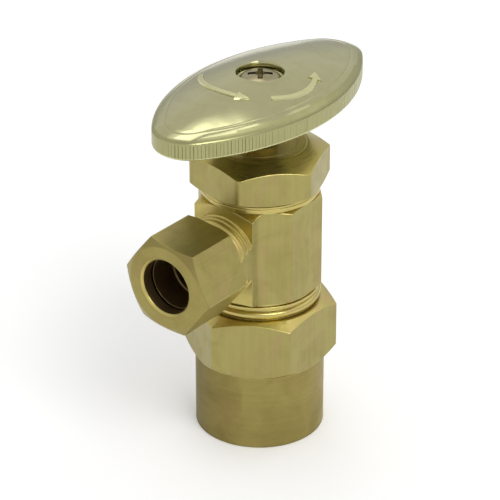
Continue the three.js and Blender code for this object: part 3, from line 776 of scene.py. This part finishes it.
class HandleForm:
    """The handle's oval and dome. Its rows share their columns: ten to a flute, closest together
    at the two sides of the groove."""

    def __init__(self):
        within = np.array([0.0, 0.13, 0.225, 0.27, 0.315, 0.5, 0.685, 0.73, 0.775, 0.87])
        parts = ((np.arange(FLUTES)[:, None] + within) / FLUTES).ravel()
        self.edge, self.normal = handle_outline(parts)
        depth = np.array([0.0, 0.0, 0.04, 1.0, 0.36, 0.3, 0.36, 1.0, 0.04, 0.0])
        uneven = np.random.default_rng(7).uniform(0.55, 1.0, (FLUTES, 1))
        self.groove = (depth * uneven).ravel()
        self.phi = np.arctan2(self.edge[:, 1], self.edge[:, 0])
        order = np.argsort(self.phi)
        self.table_phi = self.phi[order]
        self.table_r = np.hypot(*self.edge[order].T)

    def dome_z(self, xy):
        """Height of the dome, which falls off with the square of the way out to the rim."""
        phi = np.arctan2(xy[..., 1], xy[..., 0])
        reach = np.interp(phi, self.table_phi, self.table_r, period=2 * np.pi)
        s = np.clip(np.hypot(xy[..., 0], xy[..., 1]) / reach, 0, 1)
        return RIM_Z1 + DOME * (1 - s * s)

    def oval(self, inset, z, groove=0.0):
        xy = self.edge - self.normal * (INSET + inset + groove * FLUTE_DEPTH * self.groove)[:, None]
        return np.column_stack([xy, np.broadcast_to(z, len(xy))])

    def circle(self, r, z):
        return np.column_stack([r * np.cos(self.phi), r * np.sin(self.phi),
                                np.broadcast_to(z, len(self.phi))])

    def between(self, inner, outer, t, drop=0.0):
        """Row on the dome, or below it by drop, part t of the way from one row to another."""
        xy = (1 - t) * inner[:, :2] + t * outer[:, :2]
        return np.column_stack([xy, self.dome_z(xy) - drop])


def handle_region(c, n):
    """0 dome and inside, 1 shoulder and fluted rim, in darker plating as painted shade, 2 the rim's
    lower lip, in paler plating as a painted highlight.
    """
    if RIM_Z0 + 0.5 < c.z < RIM_Z1 + 1.15 and n.z < 0.89:
        return 1
    return 2 if RIM_Z0 - 0.1 < c.z < RIM_Z0 + 0.5 and n.z < 0.2 else 0


def make_handle():
    f = HandleForm()
    rows = []
    # dome, from the screw's well out to the crease before the shoulder; a hair under the CAD's top
    well, edge = f.circle(WELL_R + 0.3, 0), f.oval(SHOULDER + 0.14, 0)
    for t in np.linspace(0, 1, 22):
        rows.append(f.between(well, edge, t, 0.02))
    rows.append(f.between(well, f.oval(SHOULDER + 0.04, 0), 1, 0.05))
    crease = f.between(well, f.oval(SHOULDER, 0), 1)[:, 2]
    # rolled shoulder, fluted rim and rounded lower lip
    flute_top = RIM_Z1 - 0.5
    for u in (0.93, 0.75, 0.56, 0.4, 0.27, 0.16, 0.08, 0.025, 0.0):
        share = 0.6 * u + 0.4 * math.sqrt(1 - (1 - u) ** 2)
        rows.append(f.oval(SHOULDER * u, flute_top + share * (crease - flute_top)))
    rows.append(f.oval(0, flute_top - 0.16, 0.5))
    rows.append(f.oval(0, flute_top - 0.32, 1.0))
    for inset, z, g in ((0.0, RIM_Z0 + 0.7, 1.0), (0.04, RIM_Z0 + 0.46, 1.0),
                        (0.13, RIM_Z0 + 0.26, 1.0), (0.28, RIM_Z0 + 0.11, 0.9),
                        (0.47, RIM_Z0 + 0.02, 0.6), (0.7, RIM_Z0, 0.2)):
        rows.append(f.oval(inset, z, g))
    # inside of the rim and underside of the dome
    for inset, z in ((SHELL - 0.25, RIM_Z0), (SHELL - 0.05, RIM_Z0 + 0.2), (SHELL, RIM_Z0 + 0.6),
                     (SHELL + 0.05, 64.0), (SHELL + 0.3, 64.4)):
        rows.append(f.oval(inset, z))
    hub = f.circle(HUB_R + 0.7, 0)
    under = f.oval(SHELL + 0.8, 0)
    for t in np.linspace(1, 0, 12):
        rows.append(f.between(hub, under, t, 1.35))
    for r, z in ((HUB_R + 0.35, 66.0), (HUB_R + 0.25, 65.0), (HUB_R, HUB_Z + 0.5),
                 (HUB_R - 0.1, HUB_Z + 0.15), (HUB_R - 0.4, HUB_Z),
                 (HUB_BORE_R + 0.25, HUB_Z), (HUB_BORE_R, HUB_Z + 0.25),
                 (HUB_BORE_R, HUB_BORE_TOP), (HUB_HOLE_R, HUB_BORE_TOP), (HUB_HOLE_R, 65.7),
                 (WELL_R - 0.15, WELL_Z - 0.1), (WELL_R, WELL_Z + 0.05), (WELL_R, 68.1),
                 (WELL_R + 0.03, 68.27), (WELL_R + 0.13, 68.42)):
        rows.append(f.circle(r, z))
    obj = mesh_of_points("plated_handle", np.stack(rows), True)
    # stiffening ribs under the dome
    reach_a, reach_b = HANDLE_A - 1.1, HANDLE_B - 1.1
    for x, y in ((reach_a, RIB_HALF), (RIB_HALF, reach_b)):
        cut(obj, box("rib", (-x, -y, RIM_Z0 + 1.2), (x, y, RIB_TOP)), "UNION")
    # the ribs cross the hub, so its bore is opened again
    bore = turned("bore", centred(HUB_BORE_R, HUB_Z - 1, HUB_BORE_TOP), 64, closed=False)
    cut(obj, bore, "DIFFERENCE")
    obj.data.transform(Matrix.Rotation(math.radians(HANDLE_TURN), 4, "Z"))
    finish_piece(obj, "stem_and_handle", "handle",
                 [mat_handle, mat_rim_painted_shade, mat_mark_and_lip_highlight], handle_region)
    return f


def make_turn_arrow(name, form, start, stop, radius):
    """Raised arc on the dome, with its arrowhead at the stop angle; angles in degrees."""
    shaft, head, head_len, rise = 0.48, 1.35, 2.6, 0.2
    angles = np.radians(np.linspace(start, stop, 49)) - math.radians(HANDLE_TURN)
    to_tip = radius * np.abs(angles[-1] - angles)
    half = np.where(to_tip < head_len, head * to_tip / head_len, shaft)
    half[0] = 0
    jump = np.argmax(to_tip < head_len)
    angles = np.insert(angles, jump, angles[jump] - 1e-3)
    half = np.insert(half, jump, shaft)
    # cross-section: rounded top and a foot sunk into the dome
    across = np.array([-1, -0.82, 0, 0.82, 1, 1, 0, -1])
    lift = np.array([0, 1, 1.06, 1, 0, -0.6, -0.6, -0.6])
    rows = []
    for a, w in zip(angles, half):
        r = radius + across * w
        xy = np.column_stack([r * math.cos(a), r * math.sin(a)])
        h = lift * rise if w > 0 else np.full_like(across, -0.5 * rise)
        rows.append(np.column_stack([xy, form.dome_z(xy) + h]))
    obj = mesh_of_points(name, np.stack(rows), False)
    obj.data.transform(Matrix.Rotation(math.radians(HANDLE_TURN), 4, "Z"))
    return obj


def make_turn_arrows(form):
    left = make_turn_arrow("turn_arrow_left", form, -152, -62, 10.2)
    right = make_turn_arrow("turn_arrow_right", form, -42, 46, 9.4)
    for obj in (left, right):
        finish_piece(obj, "stem_and_handle", None, [mat_mark_and_lip_highlight])


def make_handle_screw():
    nodes = [(0, 58.4, 0), (1.2, 58.4, 0.1),
             (SCREW_SHANK_R, 58.9, 0.1), (SCREW_SHANK_R, 66.0, 0.05),
             (SCREW_HEAD_R, 67.3, 0.05), (SCREW_HEAD_R, 67.45, 0.08), (3.2, 67.75, 0.2),
             (2.4, 68.03, 0.5), (1.2, 68.2, 0.5), (0, 68.24, 0)]
    obj = turned("handle_screw_head", nodes, 128, closed=False)
    for turn in (SCREW_TURN, SCREW_TURN + 90):
        wing = box("wing", (-2.15, -0.46, 67.2), (2.15, 0.46, 70), turn)
        cut(obj, wing, "DIFFERENCE")
    core = [(0, 66.6, 0), (0.5, 66.6, 0), (1.2, 69, 0), (0, 69, 0)]
    cut(obj, turned("core", core, 24, closed=False), "DIFFERENCE")
    finish_piece(obj, "stem_and_handle", "handle_screw", [mat_screw])


make_body()
make_bonnet()
make_bonnet_trim()
make_stem()
make_seat_pieces()
make_outlet()
make_turn_arrows(make_handle())
make_handle_screw()


# ---- studio ---------------------------------------------------------------------------------
CAMERA_AZIMUTH, CAMERA_ELEVATION = math.radians(37.775), math.radians(27.827)
CAMERA_DISTANCE, CAMERA_AIM_Z, CAMERA_AIM_RIGHT, CAMERA_AIM_UP = 458.53, 30.3, -1.397, 3.146
CAMERA_LENS, CAMERA_SHIFT = 185.85, (-0.00396, 0.00116)
FLOOR_DARK, FLOOR_LIGHT = (0.965, 0.965, 0.965, 1), (0.98, 0.98, 0.98, 1)
# each: name, place, aim, size, power, in metres and watts
LIGHTS = [
    ("overhead", (-0.44, 0.42, 1.26), (-0.44, 0.42, 0), (0.5, 0.55), 1.25),
    ("overhead_wide", (-0.56, 0.46, 1.30), (-0.56, 0.46, 0), (0.7, 0.7), 0.75),
    ("overhead_back", (0.11, 0.43, 1.24), (0, 0, 0.05), (0.35, 0.35), 0.6),
    ("back_right", (0.32, 0.80, 0.87), (0, 0, 0.05), (0.55, 0.4), 0.3),
    ("front", (0.65, -0.28, 0.84), (0, 0, 0.03), (0.48, 0.48), 3.9),
]
# each: from and to, as the height of the direction, and the strength at the two
SKY_LEVELS = [(0.0, 0.42, 0.54, 0.84), (0.86, 0.94, 0.0, -0.22)]


def make_camera():
    """The photo's viewpoint, as fitted to its outlines."""
    azimuth, elevation = CAMERA_AZIMUTH, CAMERA_ELEVATION
    back = Vector((math.sin(azimuth) * math.cos(elevation),
                   -math.cos(azimuth) * math.cos(elevation), math.sin(elevation)))
    right = Vector((math.cos(azimuth), math.sin(azimuth), 0))
    up = back.cross(right)
    target = Vector((0, 0, CAMERA_AIM_Z)) + CAMERA_AIM_RIGHT * right + CAMERA_AIM_UP * up
    data = bpy.data.cameras.new("camera")
    data.lens, data.sensor_width = CAMERA_LENS, 36.0
    data.shift_x, data.shift_y = CAMERA_SHIFT
    data.clip_start, data.clip_end = 0.01, 20
    cam = add_object("camera", data)
    turn = Matrix((right, up, back)).transposed().to_4x4()
    cam.matrix_world = Matrix.Translation((target + CAMERA_DISTANCE * back) * MM) @ turn
    bpy.context.scene.camera = cam


def area_light(name, place, aim, size, power):
    data = bpy.data.lights.new(name, "AREA")
    data.shape, data.size, data.size_y = "RECTANGLE", size[0], size[1]
    data.energy = power
    obj = add_object(name, data)
    obj.location = place
    obj.rotation_euler = (Vector(aim) - Vector(place)).to_track_quat("-Z", "Y").to_euler()


def make_sky():
    """Plain white surroundings, a little dimmer near the horizon and straight overhead."""
    world = bpy.data.worlds.new("world")
    bpy.context.scene.world = world
    world.use_nodes = True
    nodes, links = world.node_tree.nodes, world.node_tree.links
    direction = nodes.new("ShaderNodeSeparateXYZ")
    links.new(nodes.new("ShaderNodeTexCoord").outputs["Generated"], direction.inputs[0])
    total = nodes.new("ShaderNodeMath")
    for levels, socket in zip(SKY_LEVELS, total.inputs):
        ramp = nodes.new("ShaderNodeMapRange")
        ramp.interpolation_type = "SMOOTHSTEP"
        links.new(direction.outputs["Z"], ramp.inputs["Value"])
        for key, v in zip(MAP_RANGE, levels):
            ramp.inputs[key].default_value = v
        links.new(ramp.outputs[0], socket)
    background = nodes["Background"]
    background.inputs[0].default_value = (1, 1, 1, 1)
    links.new(total.outputs[0], background.inputs[1])


def make_studio():
    mesh = bpy.data.meshes.new("floor")
    bm = bmesh.new()
    bmesh.ops.create_grid(bm, x_segments=2, y_segments=2, size=3.0)
    bm.to_mesh(mesh)
    bm.free()
    floor = add_object("floor", mesh)
    n = Nodes("floor")
    n.link(n.mix(n.ramp(n.noise(n.position(), 3.0), 0.3, 0.7), FLOOR_DARK, FLOOR_LIGHT),
           n.bsdf.inputs["Base Color"])
    n.bsdf.inputs["Roughness"].default_value = 0.9
    n.bsdf.inputs["Specular IOR Level"].default_value = 0.1
    mesh.materials.append(n.mat)
    make_sky()
    for light in LIGHTS:
        area_light(*light)
    view = bpy.context.scene.view_settings
    view.view_transform = "Standard"
    view.look = "None"


make_camera()
make_studio()
